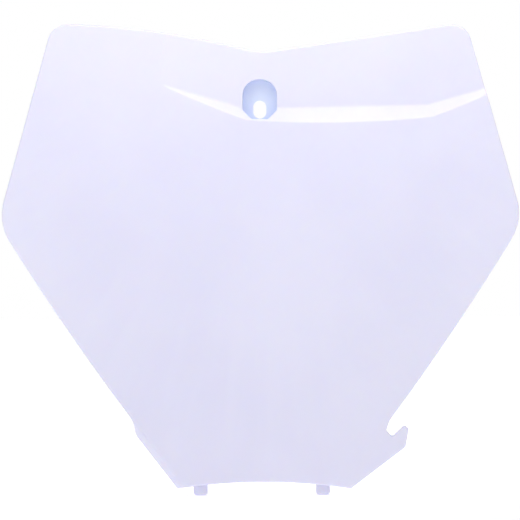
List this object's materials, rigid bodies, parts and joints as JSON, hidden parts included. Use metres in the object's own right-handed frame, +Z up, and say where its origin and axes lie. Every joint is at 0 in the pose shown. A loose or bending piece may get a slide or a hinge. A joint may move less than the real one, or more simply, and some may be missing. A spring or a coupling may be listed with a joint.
{
  "type": "racing number board",
  "caption": "Convex front plate for a race number, with a set-back top strip, a recessed fixing slot, folded lower walls, a hose hook and locating pegs.",
  "frame": {"origin": "middle of the fixing slot, on the seat that the screw head bears on", "axes": "+X to the right seen from the front, along the board's width; +Y backwards through the board, away from the show face; +Z up"},
  "size_m": [0.2594, 0.0197, 0.2362],
  "materials": {
    "moulding": "gloss"
  },
  "bodies": {
    "root": {"number_board": "moulding"}
  },
  "joints": []
}
